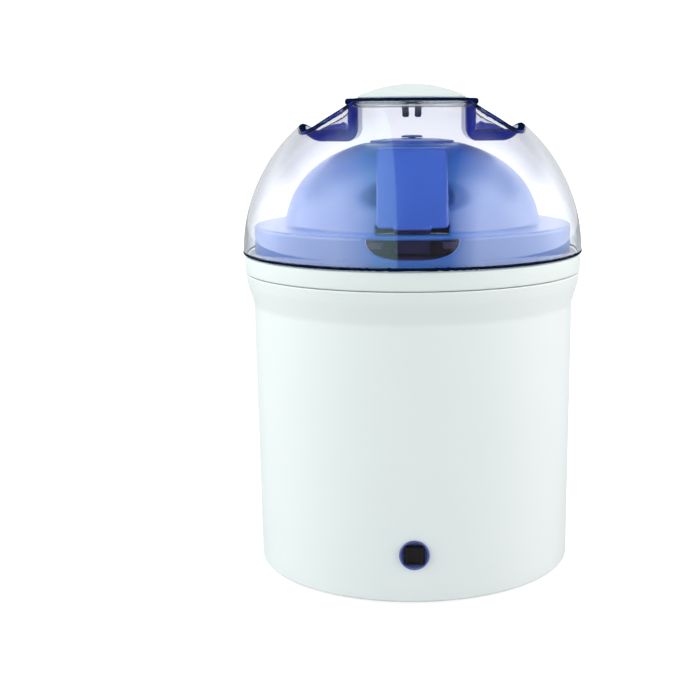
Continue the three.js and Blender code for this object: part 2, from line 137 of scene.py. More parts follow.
def turned(name, outline, materials, sides=ROUND, angle=32):
    """A solid of revolution about Z from a closed outline that runs up the outside."""
    bm = bmesh.new()
    rings = []
    for r, z in outline:
        if r < 1e-7:
            rings.append([bm.verts.new((0, 0, z))] * sides)
            continue
        turn = [2 * math.pi * k / sides for k in range(sides)]
        rings.append([bm.verts.new((r * math.cos(a), r * math.sin(a), z)) for a in turn])
    closed = outline[0][0] > 1e-7 or outline[-1][0] > 1e-7
    pairs = list(zip(rings, rings[1:]))
    if closed:
        pairs.append((rings[-1], rings[0]))
    for lower, upper in pairs:
        for k in range(sides):
            j = (k + 1) % sides
            corners = [lower[k], lower[j], upper[j], upper[k]]
            face = list(dict.fromkeys(corners))
            if len(face) > 2:
                bm.faces.new(face)
    mesh = bpy.data.meshes.new(name)
    bm.to_mesh(mesh)
    bm.free()
    shade(mesh, angle)
    return new_object(name, mesh, materials)


def cut_away(piece, *cutters):
    """Takes the cutters' space out of a piece, and removes the cutters."""
    for cutter in cutters:
        change = piece.modifiers.new("cut", "BOOLEAN")
        change.object = cutter
        change.solver = "EXACT"
    apply_modifiers(piece)
    for cutter in cutters:
        bpy.data.objects.remove(cutter)
    shade(piece.data)
    return piece


def apply_modifiers(piece):
    graph = bpy.context.evaluated_depsgraph_get()
    mesh = bpy.data.meshes.new_from_object(piece.evaluated_get(graph))
    piece.modifiers.clear()
    piece.data = mesh


# ---- surfaces from distance fields ----
def smooth_max(a, b, width):
    mix = np.clip(0.5 + 0.5 * (a - b) / width, 0, 1)
    return b + (a - b) * mix + width * mix * (1 - mix)


def smooth_min(a, b, width):
    return -smooth_max(-a, -b, width)


def round_both(radius, *sides):
    """Where all the fields are negative, with the edges between them rounded."""
    grown = [side + radius for side in sides]
    outside = sum(np.maximum(g, 0) ** 2 for g in grown) ** 0.5
    inside = grown[0]
    for g in grown[1:]:
        inside = np.maximum(inside, g)
    return outside + np.minimum(inside, 0) - radius


def field_mesh(name, field, low, high, cell, materials, angle=50):
    """A closed quad mesh on the surface where field(x, y, z) is zero; the field is negative inside."""
    axes = [np.arange(low[a], high[a] + cell, cell) for a in range(3)]
    values = field(axes[0][:, None, None], axes[1][None, :, None], axes[2][None, None, :])
    inside = values < 0
    shape = np.array(values.shape) - 1
    corners = [(i, j, k) for i in (0, 1) for j in (0, 1) for k in (0, 1)]
    full = sum(
        inside[i:i + shape[0], j:j + shape[1], k:k + shape[2]].astype(np.int8) for i, j, k in corners
    )
    cells = np.argwhere((full > 0) & (full < 8))
    total = np.zeros((len(cells), 3))
    hits = np.zeros(len(cells))
    for start in corners:
        for axis in range(3):
            if start[axis]:
                continue
            end = list(start)
            end[axis] = 1
            at_start = values[tuple((cells + start).T)]
            at_end = values[tuple((cells + end).T)]
            crossed = (at_start < 0) != (at_end < 0)
            step = np.where(crossed, at_start / np.where(crossed, at_start - at_end, 1), 0)
            point = np.array(start, float)[None, :].repeat(len(cells), 0)
            point[:, axis] += step
            total += point * crossed[:, None]
            hits += crossed
    points = np.array([a[0] for a in axes]) + (cells + total / hits[:, None]) * cell
    number = np.full(shape, -1, np.int32)
    number[tuple(cells.T)] = np.arange(len(cells))
    quads = []
    for axis in range(3):
        b, c = (axis + 1) % 3, (axis + 2) % 3
        here = [slice(1, -1)] * 3
        here[axis] = slice(0, -1)
        there = list(here)
        there[axis] = slice(1, None)
        near, far = inside[tuple(here)], inside[tuple(there)]
        offset = np.ones(3, int)
        offset[axis] = 0
        for solid_first in (True, False):
            found = near & ~far if solid_first else ~near & far
            at = np.argwhere(found) + offset
            turn = [(-1, -1), (0, -1), (0, 0), (-1, 0)]
            face = []
            for db, dc in turn if solid_first else turn[::-1]:
                place = at.copy()
                place[:, b] += db
                place[:, c] += dc
                face.append(number[tuple(place.T)])
            quads.append(np.stack(face, 1))
    quads = np.concatenate(quads)
    points = relax_on_surface(points, quads, field, cell)
    mesh = bpy.data.meshes.new(name)
    mesh.from_pydata(points.tolist(), [], quads.tolist())
    mesh.validate()
    shade(mesh, angle)
    return new_object(name, mesh, materials)


def relax_on_surface(points, quads, field, cell, rounds=3):
    """Evens out the mesh and puts every point back on the field's surface."""
    edges = np.concatenate([quads[:, [i, (i + 1) % 4]] for i in range(4)])
    degree = np.bincount(edges.ravel(), minlength=len(points))[:, None]
    for _ in range(rounds):
        total = np.zeros_like(points)
        np.add.at(total, edges[:, 0], points[edges[:, 1]])
        np.add.at(total, edges[:, 1], points[edges[:, 0]])
        points = 0.5 * points + 0.5 * total / degree
        for _ in range(2):
            value = field(*points.T)
            slope = np.stack(
                [field(*(points + step).T) - field(*(points - step).T) for step in np.eye(3) * cell * 0.05], 1
            ) / (cell * 0.1)
            length = np.maximum((slope ** 2).sum(1), 0.2)
            move = -(value / length)[:, None] * slope
            points = points + np.clip(move, -0.5 * cell, 0.5 * cell)
    return points


# ---- materials ----
def nodes_of(name):
    made = bpy.data.materials.new(name)
    made.use_nodes = True
    tree = made.node_tree
    return made, tree, tree.nodes["Principled BSDF"]


def link(tree, source, target):
    tree.links.new(source, target)


def math_node(tree, operation, *values):
    """A Math node; each value is a number or another node's output."""
    node = tree.nodes.new("ShaderNodeMath")
    node.operation = operation
    for socket, value in zip(node.inputs, values):
        if isinstance(value, (int, float)):
            socket.default_value = value
        else:
            link(tree, value, socket)
    return node.outputs["Value"]


def noise(tree, scale, detail=2.0, stretch=None):
    """A noise texture in object space; stretch squeezes it along an axis."""
    where = tree.nodes.new("ShaderNodeTexCoord").outputs["Object"]
    if stretch:
        mapping = tree.nodes.new("ShaderNodeMapping")
        mapping.inputs["Scale"].default_value = stretch
        link(tree, where, mapping.inputs["Vector"])
        where = mapping.outputs["Vector"]
    texture = tree.nodes.new("ShaderNodeTexNoise")
    texture.inputs["Scale"].default_value = scale
    texture.inputs["Detail"].default_value = detail
    link(tree, where, texture.inputs["Vector"])
    return texture.outputs["Fac"]


def ranged(tree, source, first, second, smooth=False):
    """Maps a value from one (low, high) range onto another."""
    node = tree.nodes.new("ShaderNodeMapRange")
    node.interpolation_type = "SMOOTHSTEP" if smooth else "LINEAR"
    node.inputs["From Min"].default_value, node.inputs["From Max"].default_value = first
    node.inputs["To Min"].default_value, node.inputs["To Max"].default_value = second
    link(tree, source, node.inputs["Value"])
    return node.outputs["Result"]


def vary(tree, source, low, high, target):
    """Drives a plain number with a texture, between two values."""
    link(tree, ranged(tree, source, (0.1, 0.9), (low, high)), target)


def ramp(tree, source, stops):
    """A colour ramp from (position, colour) stops."""
    node = tree.nodes.new("ShaderNodeValToRGB")
    points = node.color_ramp.elements
    while len(points) < len(stops):
        points.new(1)
    for point, (position, colour) in zip(points, stops):
        point.position = position
        point.color = (*colour, 1)
    link(tree, source, node.inputs["Fac"])
    return node.outputs["Color"]


def blend_colours(tree, source, first, second, target):
    link(tree, ramp(tree, source, [(0.3, first), (0.7, second)]), target)


def bump(tree, source, strength, depth, target):
    bumped = tree.nodes.new("ShaderNodeBump")
    bumped.inputs["Strength"].default_value = strength
    bumped.inputs["Distance"].default_value = depth
    link(tree, source, bumped.inputs["Height"])
    link(tree, bumped.outputs["Normal"], target)


def plastic(name, colour, roughness, grain=900, relief=0.05, shift=0.03, coat=0.0, shine=0.5):
    """Moulded plastic: a faint flow mottle in the colour, uneven gloss and a fine orange-peel skin."""
    made, tree, bsdf = nodes_of(name)
    darker = [max(c - shift * c, 0) for c in colour]
    lighter = [min(c + shift * c, 1) for c in colour]
    blend_colours(tree, noise(tree, 22, 3), darker, lighter, bsdf.inputs["Base Color"])
    vary(tree, noise(tree, 60, 3), roughness * 0.88, roughness * 1.12, bsdf.inputs["Roughness"])
    bump(tree, noise(tree, grain, 2), relief, 0.05 * MM, bsdf.inputs["Normal"])
    bsdf.inputs["IOR"].default_value = 1.5
    bsdf.inputs["Specular IOR Level"].default_value = shine
    bsdf.inputs["Coat Weight"].default_value = coat
    bsdf.inputs["Coat Roughness"].default_value = 0.22
    bsdf.inputs["Coat IOR"].default_value = 1.6
    return made


def metal(name, colour, roughness, stretch=(1, 1, 40)):
    """Metal with turning marks round the axis."""
    made, tree, bsdf = nodes_of(name)
    bsdf.inputs["Metallic"].default_value = 1
    marks = noise(tree, 60, 4, stretch)
    blend_colours(tree, marks, [c * 0.93 for c in colour], colour, bsdf.inputs["Base Color"])
    vary(tree, marks, roughness * 0.8, roughness * 1.2, bsdf.inputs["Roughness"])
    bump(tree, marks, 0.12, 0.03 * MM, bsdf.inputs["Normal"])
    return made


def clear_plastic(name, roughness, shadow_tint, density, volume_colour):
    """Clear plastic that lets lamps through. Returns the material and its shader."""
    made, tree, bsdf = nodes_of(name)
    bsdf.inputs["Transmission Weight"].default_value = 1
    bsdf.inputs["IOR"].default_value = 1.5
    vary(tree, noise(tree, 40, 2), roughness * 0.7, roughness * 1.3, bsdf.inputs["Roughness"])
    output = tree.nodes["Material Output"]
    see_through = tree.nodes.new("ShaderNodeBsdfTransparent")
    see_through.inputs["Color"].default_value = (*shadow_tint, 1)
    path = tree.nodes.new("ShaderNodeLightPath")
    mix = tree.nodes.new("ShaderNodeMixShader")
    link(tree, path.outputs["Is Shadow Ray"], mix.inputs["Fac"])
    link(tree, bsdf.outputs["BSDF"], mix.inputs[1])
    link(tree, see_through.outputs["BSDF"], mix.inputs[2])
    link(tree, mix.outputs["Shader"], output.inputs["Surface"])
    absorb = tree.nodes.new("ShaderNodeVolumeAbsorption")
    absorb.inputs["Color"].default_value = (*volume_colour, 1)
    absorb.inputs["Density"].default_value = density
    link(tree, absorb.outputs["Volume"], output.inputs["Volume"])
    return made, bsdf


def dome_material(name, colour, clearness, shine):
    """The outer dome's lilac clear plastic, or a darker copy of it whose colour paints the shade of the thick
    wall seen from the side.
    """
    made, bsdf = clear_plastic(name, 0.03, (0.95, 0.96, 1.0), 20, (0.12, 0.28, 0.95))
    bsdf.inputs["IOR"].default_value = 1.58
    bsdf.inputs["Base Color"].default_value = (*colour, 1)
    bsdf.inputs["Transmission Weight"].default_value = clearness
    bsdf.inputs["Specular IOR Level"].default_value = shine
    return made


def bezel_material(name):
    """The tinted, half-clear plastic of the button's ring."""
    made, bsdf = clear_plastic(name, 0.05, (0.4, 0.5, 0.8), 900, (0.30, 0.42, 0.95))
    bsdf.inputs["Base Color"].default_value = (0.26, 0.32, 0.72, 1)
    bsdf.inputs["Transmission Weight"].default_value = 0.7
    return made


white_shell = plastic("white_shell", (0.82, 0.83, 0.82), 0.30, relief=0.06, shift=0.006)
white_ring = plastic("white_ring", (0.79, 0.815, 0.79), 0.34, relief=0.06, shift=0.008)
white_cap = plastic("white_cap", (0.76, 0.79, 0.765), 0.40, shift=0.006)
white_lid = plastic("white_lid", (0.84, 0.85, 0.85), 0.42, shift=0.01)
cover_blue = plastic("cover_blue", (0.040, 0.175, 0.62), 0.34, relief=0.05, shift=0.05, coat=1.0)
strap_blue = plastic("strap_blue", (0.062, 0.165, 0.72), 0.24, relief=0.03, shift=0.04, coat=0.3)
# Painted shade: the tongue is the strap's blue plastic, coloured dark violet where it lies in shadow.
tongue_painted_shade = plastic("tongue_painted_shade", (0.050, 0.040, 0.20), 0.45, shift=0.05)
# Painted shade: the tray's near-black purple stands in for the shadow inside the window.
pocket_dark = plastic("pocket_dark", (0.040, 0.020, 0.070), 0.5, shift=0.1)
navy = plastic("navy", (0.008, 0.014, 0.12), 0.22, shift=0.1)
button_black = plastic("button_black", (0.009, 0.006, 0.007), 0.22, relief=0.04, shift=0.1, shine=0.2)
rubber = plastic("rubber", (0.05, 0.05, 0.055), 0.75, grain=500, relief=0.3, shift=0.1)
gland_rubber = plastic("gland_rubber", (0.74, 0.75, 0.75), 0.6, grain=500, relief=0.2, shift=0.02)
hidden_black = plastic("hidden_black", (0.03, 0.03, 0.035), 0.5, shift=0.1)
insulation = plastic("insulation", (0.40, 0.05, 0.03), 0.5, shift=0.1)
aluminium = metal("aluminium", (0.80, 0.81, 0.83), 0.3)
steel = metal("steel", (0.62, 0.63, 0.66), 0.25, (1, 1, 6))
dome_clear = dome_material("dome_clear", (0.99, 0.99, 1.0), 1, 0.5)
# Darker copies of the clear dome paint shade where the tinted wall is seen along its thickness: royal in the
# pockets, near-black along the edges and the foot.
dome_royal_painted_shade = dome_material("dome_royal_painted_shade", (0.02, 0.035, 0.46), 0.15, 0.05)
dome_edge_painted_shade = dome_material("dome_edge_painted_shade", (0.002, 0.008, 0.03), 0, 0)
jar_clear = clear_plastic("jar_clear", 0.06, (0.95, 0.97, 0.98), 12, (0.86, 0.95, 1.0))[0]
bezel_blue = bezel_material("bezel_blue")


# ---- base ----
def shell_outline():
    inner = SHELL_FOOT_R - 2.5 * MM
    waist = SHELL_WAIST_R
    top = RING_R
    wall = 2.5 * MM
    return rounded([
        (inner, SHELL_LOW, 0),
        (SHELL_FOOT_R, SHELL_LOW, 2.2 * MM),
        (waist, FLARE_START - 2 * MM, 9 * MM),
        (waist + 2.7 * MM, SEAM - 5.5 * MM, 14 * MM),
        (top, SEAM, 0.7 * MM),
        (top - wall, SEAM, 0),
        (waist - wall, FLARE_START, 6 * MM),
    ], 7)


def wall_hole(name, radius, y, z, sides):
    """A cutter for a round hole through the shell's wall, along Y from y."""
    length = 20 * MM
    cutter = turned(name, [(0, 0), (radius, 0), (radius, length), (0, length)], white_shell, sides)
    cutter.matrix_world = Matrix.Translation((0, y, z)) @ Matrix.Rotation(-math.pi / 2, 4, "X")
    return cutter


def make_shell():
    shell = turned("housing_shell", shell_outline(), white_shell, angle=40)
    gland_z = (low_of("cord_gland")[2] + high_of("cord_gland")[2]) / 2
    front = wall_hole("button_hole", 6.55 * MM, -85 * MM, BUTTON.z, 64)
    rear = wall_hole("gland_hole", 5.3 * MM, 65 * MM, gland_z, 48)
    bpy.context.view_layer.update()
    return settle(cut_away(shell, front, rear), "base", "shell_white", "outer_housing")


def make_ring():
    low = low_of("top_ring")[2]
    seat = 1.8 * MM
    spigot_in, spigot_out = 73.5 * MM, 75.3 * MM
    outline = rounded([
        (spigot_in, low, 0.3 * MM),
        (spigot_out, low, 0.3 * MM),
        (spigot_out, SEAM + 0.3 * MM, 0),
        (RING_R, SEAM + 0.3 * MM, 0.9 * MM),
        (RING_R, RING_TOP - 0.8 * MM, 1.1 * MM),
        (77.8 * MM, RING_TOP - 0.8 * MM, 0.2 * MM),
        (77.6 * MM, RING_TOP, 0.5 * MM),
        (70.5 * MM, RING_TOP, 0.4 * MM),
        (70.5 * MM, RING_TOP - seat, 0.2 * MM),
        (64 * MM, RING_TOP - seat, 0.4 * MM),
        (64 * MM, RING_TOP - 4.5 * MM, 0.4 * MM),
        (spigot_in, RING_TOP - 4.5 * MM, 0),
    ], 5)
    ring = turned("ring_collar", outline, white_ring, angle=40)
    return settle(ring, "base", "ring_white", "top_ring")


def make_well():
    low = low_of("heating_well")[2]
    wall = 1.2 * MM
    bore = 60 * MM
    flange = 70.2 * MM
    outline = rounded([
        (0, low, 0),
        (bore + wall, low, 4 * MM),
        (bore + wall, RING_TOP - 1.5 * MM, 0.3 * MM),
        (flange, RING_TOP - 1.5 * MM, 0.3 * MM),
        (flange, RING_TOP - 0.3 * MM, 0.4 * MM),
        (bore, RING_TOP - 0.3 * MM, 1.2 * MM),
        (bore, low + wall, 3.2 * MM),
        (0, low + wall, 0),
    ], 6)
    return settle(turned("well_cup", outline, aluminium), "base", "well_aluminium", "heating_well")


def make_foot(index):
    low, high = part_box(f"foot_{index}")
    x, y = (low[0] + high[0]) / 2, (low[1] + high[1]) / 2
    pad = (high[0] - low[0]) / 2
    pad_top = 2 * MM
    stem = 2.2 * MM
    hollow = 0.4 * MM
    outline = rounded([
        (0, hollow, 0),
        (pad - 2.5 * MM, hollow, 0.3 * MM),
        (pad - 2.2 * MM, 0, 0.2 * MM),
        (pad, 0, 0.8 * MM),
        (pad - 0.4 * MM, pad_top, 0.4 * MM),
        (stem, pad_top, 0),
        (stem, high[2], 0.5 * MM),
        (0, high[2], 0),
    ], 4)
    pad_piece = turned(f"rubber_foot_{index}", outline, rubber, 48)
    pad_piece.location = (x, y, 0)
    return settle(pad_piece, "base", "foot_rubber", f"foot_{index}")


def make_base():
    make_shell()
    make_ring()
    make_well()
    for index in range(1, 5):
        make_foot(index)


# ---- power button ----
def square_ring(half, corner, y, steps=5):
    """Points of a square with round corners in the XZ plane at y, about the button's centre."""
    points = []
    for turn in range(4):
        middle = Matrix.Rotation(turn * math.pi / 2, 2) @ Vector((half - corner, half - corner))
        for k in range(steps + 1):
            angle = turn * math.pi / 2 + k / steps * math.pi / 2
            across = middle.x + corner * math.cos(angle)
            points.append((across, y, BUTTON.z + middle.y + corner * math.sin(angle)))
    return points


def lofted(name, loops, materials, close_ends, angle=32):
    """Joins loops of equally many points into one closed skin. close_ends caps the first and last loop;
    otherwise the last loop joins the first."""
    bm = bmesh.new()
    rings = [[bm.verts.new(point) for point in loop] for loop in loops]
    pairs = list(zip(rings, rings[1:]))
    if not close_ends:
        pairs.append((rings[-1], rings[0]))
    for first, second in pairs:
        for k in range(len(first)):
            j = (k + 1) % len(first)
            bm.faces.new((first[k], first[j], second[j], second[k]))
    if close_ends:
        bm.faces.new(rings[0][::-1])
        bm.faces.new(rings[-1])
    bmesh.ops.recalc_face_normals(bm, faces=bm.faces)
    mesh = bpy.data.meshes.new(name)
    bm.to_mesh(mesh)
    bm.free()
    shade(mesh, angle)
    return new_object(name, mesh, materials)


def circle_like(loop, radius, y):
    """The points of a loop moved out onto a circle, each along its own direction."""
    points = []
    for x, _, z in loop:
        out = Vector((x, z - BUTTON.z)).normalized() * radius
        points.append((out.x, y, BUTTON.z + out.y))
    return points


def dense_square(half, y, per_side=10):
    """Points along the sides of a plain square, the same number on each side."""
    points = []
    for turn in range(4):
        spin = Matrix.Rotation(turn * math.pi / 2, 2)
        for k in range(per_side):
            at = spin @ Vector((half, -half + 2 * half * k / per_side))
            points.append((at.x, y, BUTTON.z + at.y))
    return points


def make_bezel():
    front = low_of("button_bezel")[1]
    back = high_of("button_bezel")[1]
    flange = front + 1.2 * MM
    radius = (high_of("button_bezel")[0] - low_of("button_bezel")[0]) / 2
    half = 4.42 * MM  # the square opening for the key
    barrel = 6.3 * MM
    inner_front = dense_square(half, front + 1.5 * MM)
    loops = [
        inner_front,
        circle_like(inner_front, radius - 0.75 * MM, front + 0.25 * MM),
        circle_like(inner_front, radius - 0.5 * MM, front),
        circle_like(inner_front, radius - 0.25 * MM, front + 0.05 * MM),
        circle_like(inner_front, radius, front + 0.5 * MM),
        circle_like(inner_front, radius, flange),
        circle_like(inner_front, barrel, flange),
        circle_like(inner_front, barrel, back),
        dense_square(half, back),
    ]
    bezel = lofted("bezel_ring", loops, bezel_blue, False, 28)
    return settle(bezel, "base", "bezel_blue", "button_bezel")


def make_key():
    """A square key with a collar that holds it in its ring, and a dished face."""
    face = low_of("power_button")[1]
    back = high_of("power_button")[1]
    half = 4.2 * MM
    collar = half + 1.4 * MM
    collar_front = back - 1.2 * MM
    sections = [  # half width, corner radius, y
        (collar, 1 * MM, back),
        (collar, 1 * MM, collar_front),
        (half, 0.7 * MM, collar_front),
        (half, 0.7 * MM, face + 0.5 * MM),
        (half - 0.15 * MM, 0.6 * MM, face + 0.15 * MM),
        (half - 0.5 * MM, 0.5 * MM, face),
        (half - 0.9 * MM, 0.5 * MM, face + 0.05 * MM),
        (half - 1.3 * MM, 0.4 * MM, face + 0.5 * MM),
    ]
    key = lofted("power_key", [square_ring(*section) for section in sections], button_black, True, 60)
    return settle(key, "button", "button_black", "power_button")


# ---- jar ----
def make_jar():
    low, high = low_of("jar")[2], high_of("jar")[2]
    radius = high_of("jar")[0]
    wall = 2.6 * MM
    punt = low + 1.6 * MM  # the raised middle of the jar's underside
    outline = rounded([
        (0, punt, 0),
        (radius - 12 * MM, punt, 2 * MM),
        (radius - 9 * MM, low, 1.2 * MM),
        (radius, low, 5 * MM),
        (radius, high - 9.5 * MM, 0.3 * MM),
        (radius - 0.5 * MM, high - 9 * MM, 0.3 * MM),
        (radius - 0.5 * MM, high, 1.1 * MM),
        (radius - wall, high, 1.1 * MM),
        (radius - wall, low + 3 * MM, 4 * MM),
        (0, low + 4 * MM, 0),
    ], 6)
    return settle(turned("clear_jar", outline, jar_clear), "jar", "jar_clear", "jar")


def make_lid():
    low, high = low_of("jar_lid")[2], high_of("jar_lid")[2]
    radius = high_of("jar_lid")[0]
    under = low + 8 * MM
    deck = under + 2 * MM
    groove = deck - 0.6 * MM
    skirt = radius - 2.1 * MM
    knob = 12 * MM
    outline = rounded([
        (0, under, 0),
        (skirt, under, 0.3 * MM),
        (skirt, low, 0.3 * MM),
        (radius, low, 0.5 * MM),
        (radius, deck, 1.4 * MM),
        (radius - 7 * MM, deck, 0.3 * MM),
        (radius - 7.6 * MM, groove, 0.3 * MM),
        (radius - 11 * MM, groove, 0.3 * MM),
        (radius - 11.6 * MM, deck, 0.3 * MM),
        (13.5 * MM, deck, 2 * MM),
        (knob, high - 3 * MM, 1 * MM),
        (knob, high, 2.2 * MM),
        (8 * MM, high, 1 * MM),
        (6 * MM, high - 0.8 * MM, 1 * MM),
        (0, high - 0.8 * MM, 0),
    ], 5)
    return settle(turned("jar_lid_disc", outline, white_lid), "jar_lid", "lid_white", "jar_lid")


# ---- inner cover ----
DISC_SEAT_R = 22.4 * MM  # the flat on top that the vent disc covers
DISC_SEAT_RISE = 49.4 * MM
DISH_HALF = (24.1 * MM, 7.6 * MM, 7.4 * MM)  # the ellipsoid of the finger dish behind the strap
DISH_Y = -54 * MM
DISH_RISE = 30.5 * MM
WINDOW_HALF = 19.7 * MM  # the D-shaped window in the skirt
WINDOW_TOP = 12.7 * MM
WINDOW_TALL = 9.2 * MM
WINDOW_BACK = -68 * MM
SLOT_HALF = 16 * MM  # the slot in the dome's foot that the strap hooks through
SLOT_RISE = 15.1 * MM
STRAP_LOW = 15.8 * MM  # rises of the strap's ends
STRAP_TOP = 49.2 * MM
STRAP_OFF = 1.5 * MM  # how far the middle of the strap's wall lies off the dome, and half its thickness
STRAP_THIN = 1.2 * MM
TONGUE_HALF = 8 * MM


def inner_dome_field(r, rise):
    """Distance to the inner dome's superellipse, near its surface."""
    up = np.maximum(rise - INNER_BASE, 0) / INNER_TALL
    out = np.maximum(r / INNER_R, 1e-6)
    size = (out ** INNER_POWER + up ** INNER_POWER) ** (1 / INNER_POWER)
    scale = size ** (1 - INNER_POWER)
    slope_r = scale * out ** (INNER_POWER - 1) / INNER_R
    slope_z = scale * up ** (INNER_POWER - 1) / INNER_TALL
    return (size - 1) / np.sqrt(slope_r ** 2 + slope_z ** 2)


def inner_cover_skin(x, y, rise):
    """The cover's outer skin: dome, shelf and skirt, with the finger dish and the seat of the disc."""
    r = np.sqrt(x * x + y * y)
    dome = inner_dome_field(r, rise)
    seat = round_both(0.4 * MM, r - DISC_SEAT_R, DISC_SEAT_RISE - rise)
    dome = smooth_max(dome, -seat, 0.5 * MM)
    skirt = round_both(1.1 * MM, r - COVER_R, rise - SHELF_RISE)
    skin = smooth_min(dome, skirt, 1.6 * MM)
    wide, deep, tall = DISH_HALF
    size = np.sqrt((x / wide) ** 2 + ((y - DISH_Y) / deep) ** 2 + ((rise - DISH_RISE) / tall) ** 2)
    dish = (size - 1) * tall * 0.9
    return smooth_max(skin, -dish, 2.5 * MM)


def inner_cover_field(x, y, z):
    """The cover's wall, open below, with the window and the strap's slot cut out."""
    rise = z - RING_TOP
    skin = inner_cover_skin(x, y, rise)
    shell = round_both(0.8 * MM, skin, -(skin + COVER_WALL), COVER_LOW - z)
    drop = np.maximum(WINDOW_TOP - rise, 0) / WINDOW_TALL
    window = ((np.abs(x) / WINDOW_HALF) ** 2.6 + drop ** 2.6) ** (1 / 2.6) - 1
    window = np.maximum(window * WINDOW_TALL, rise - WINDOW_TOP)
    window = np.maximum(window, y - WINDOW_BACK)
    slot = round_both(0.3 * MM, np.abs(x) - SLOT_HALF, np.abs(rise - SLOT_RISE) - 2 * MM, y + 50 * MM)
    shell = smooth_max(shell, -window, 1.1 * MM)
    return smooth_max(shell, -slot, 0.4 * MM)


def make_inner_cover():
    cell = 0.75 * MM
    reach = COVER_R + 3 * cell
    low = (-reach, -reach, COVER_LOW - 3 * cell)
    high = (reach, reach, RING_TOP + 53 * MM + 3 * cell)
    cover = field_mesh("blue_inner_cover", inner_cover_field, low, high, cell, cover_blue)
    return settle(cover, "inner_cover", "cover_blue", "inner_cover")


def strap_field(x, y, z):
    """A plate that follows the dome; its lower end hooks through the slot and runs down as a tongue."""
    rise = z - RING_TOP
    r = np.sqrt(x * x + y * y)
    skin = np.abs(inner_dome_field(r, rise) - STRAP_OFF) - STRAP_THIN
    middle, half = (STRAP_LOW + STRAP_TOP) / 2, (STRAP_TOP - STRAP_LOW) / 2
    plan = round_both(1.7 * MM, np.abs(x) - STRAP_HALF, np.abs(rise - middle) - half)
    plan = np.maximum(plan, y + 15 * MM)
    plate = round_both(0.75 * MM, skin, plan)
    side = np.abs(x) - TONGUE_HALF
    hook = round_both(0.4 * MM, side, np.abs(y + 59 * MM) - 4 * MM, np.abs(rise - 15.9 * MM) - 0.9 * MM)
    tongue = round_both(0.4 * MM, side, np.abs(y + 56 * MM) - 1 * MM, np.abs(rise - 10.5 * MM) - 6.3 * MM)
    return smooth_min(smooth_min(plate, hook, 0.5 * MM), tongue, 0.8 * MM)


def make_strap():
    cell = 0.5 * MM
    low = (-STRAP_HALF - 3 * cell, -66 * MM, RING_TOP + 4 * MM)
    high = (STRAP_HALF + 3 * cell, -13 * MM, RING_TOP + 53 * MM)
    strap = field_mesh("front_strap", strap_field, low, high, cell, [strap_blue, tongue_painted_shade])
    # Faces below the slot take the darker material: painted shade on the tongue.
    for face in strap.data.polygons:
        face.material_index = int(face.center.z < RING_TOP + 15.4 * MM)
    return settle(strap, "inner_cover", "cover_blue", "strap_handle")


def pocket_field(x, y, z):
    """The tray behind the window, coloured near-black as painted shade, with a small ledge in each upper
    corner.
    """
    rise = z - RING_TOP
    r = np.sqrt(x * x + y * y)
    top = 10.6 * MM
    side = np.abs(x) - 20.6 * MM
    body = round_both(0.3 * MM, side, r - 73 * MM, y + 53.2 * MM, 2.1 * MM - rise, rise - top)
    hollow = round_both(1.5 * MM, np.abs(x) - 19.2 * MM, y + 54.4 * MM, 3.5 * MM - rise)
    tray = smooth_max(body, -hollow, 0.3 * MM)
    deep = np.abs(y + 68 * MM) - 2.5 * MM
    ledge = round_both(
        0.3 * MM, 12.8 * MM - np.abs(x), side, deep, 7.6 * MM - rise, rise - top, r - 72.8 * MM
    )
    return smooth_min(tray, ledge, 0.3 * MM)


def make_pocket():
    cell = 0.6 * MM
    low = (-22 * MM, -75 * MM, RING_TOP + 1 * MM)
    high = (22 * MM, -51 * MM, RING_TOP + 12 * MM)
    pocket = field_mesh("latch_tray", pocket_field, low, high, cell, pocket_dark)
    return settle(pocket, "inner_cover", "pocket_dark", "latch_pocket")


def make_disc():
    """The vent disc: its top follows the dome, and two curved slits let vapour out."""
    low, high = low_of("vent_disc")[2], high_of("vent_disc")[2]
    radius = high_of("vent_disc")[0]
    outline = rounded([
        (2 * MM, low, 0),
        (radius, low, 0.4 * MM),
        (radius, high - 1.1 * MM, 0.9 * MM),
        (13 * MM, high - 0.35 * MM, 6 * MM),
        (6 * MM, high, 2 * MM),
        (2 * MM, high, 0.2 * MM),
    ], 5)
    disc = turned("vent_disc_top", outline, strap_blue, 128)
    slit_out, slit_in, half_turn, steps = 17.2 * MM, 13.6 * MM, 0.6, 12
    sweep = [half_turn * (2 * k / steps - 1) for k in range(steps + 1)]
    slits = []
    for side in (0, math.pi):
        points = [(slit_out * math.cos(side + a), slit_out * math.sin(side + a)) for a in sweep]
        points += [(slit_in * math.cos(side - a), slit_in * math.sin(side - a)) for a in sweep]
        loops = [[(x, y, height) for x, y in points] for height in (low - 1 * MM, high + 1 * MM)]
        slits.append(lofted(f"slit_{len(slits)}", loops, strap_blue, True))
    bpy.context.view_layer.update()
    return settle(cut_away(disc, *slits), "inner_cover", "cover_blue", "vent_disc")


def make_hub():
    low, high = low_of("disc_hub")[2], high_of("disc_hub")[2]
    radius = high_of("disc_hub")[0]
    stem = 1.7 * MM
    head = high - 1.1 * MM
    outline = rounded([
        (0, low, 0),
        (stem, low, 0.3 * MM),
        (stem, head, 0),
        (radius, head, 0.1 * MM),
        (radius, high - 0.3 * MM, 0.5 * MM),
        (radius - 2 * MM, high, 1.5 * MM),
        (0, high, 0),
    ], 5)
    return settle(turned("hub_rivet", outline, cover_blue, 64), "inner_cover", "cover_blue", "disc_hub")


# ---- outer dome ----
POCKET_WALL = 26 * MM  # the finger pockets' upright wall, from the middle
POCKET_FLOOR = 53.9 * MM
POCKET_BEND = 41 * MM  # where the floor starts to curve up
POCKET_HALF = 31 * MM  # half a pocket's length at its floor
CLIP_LOW = 62.6 * MM


def pocket_section(x, rise):
    """The finger pockets seen from the front: an upright wall, and a floor that curves up to the shoulder."""
    across = np.abs(x)
    floor = POCKET_FLOOR + 60 * np.maximum(across - POCKET_BEND, 0) ** 2
    return round_both(3.6 * MM, POCKET_WALL - across, 0.8 * (floor - rise))


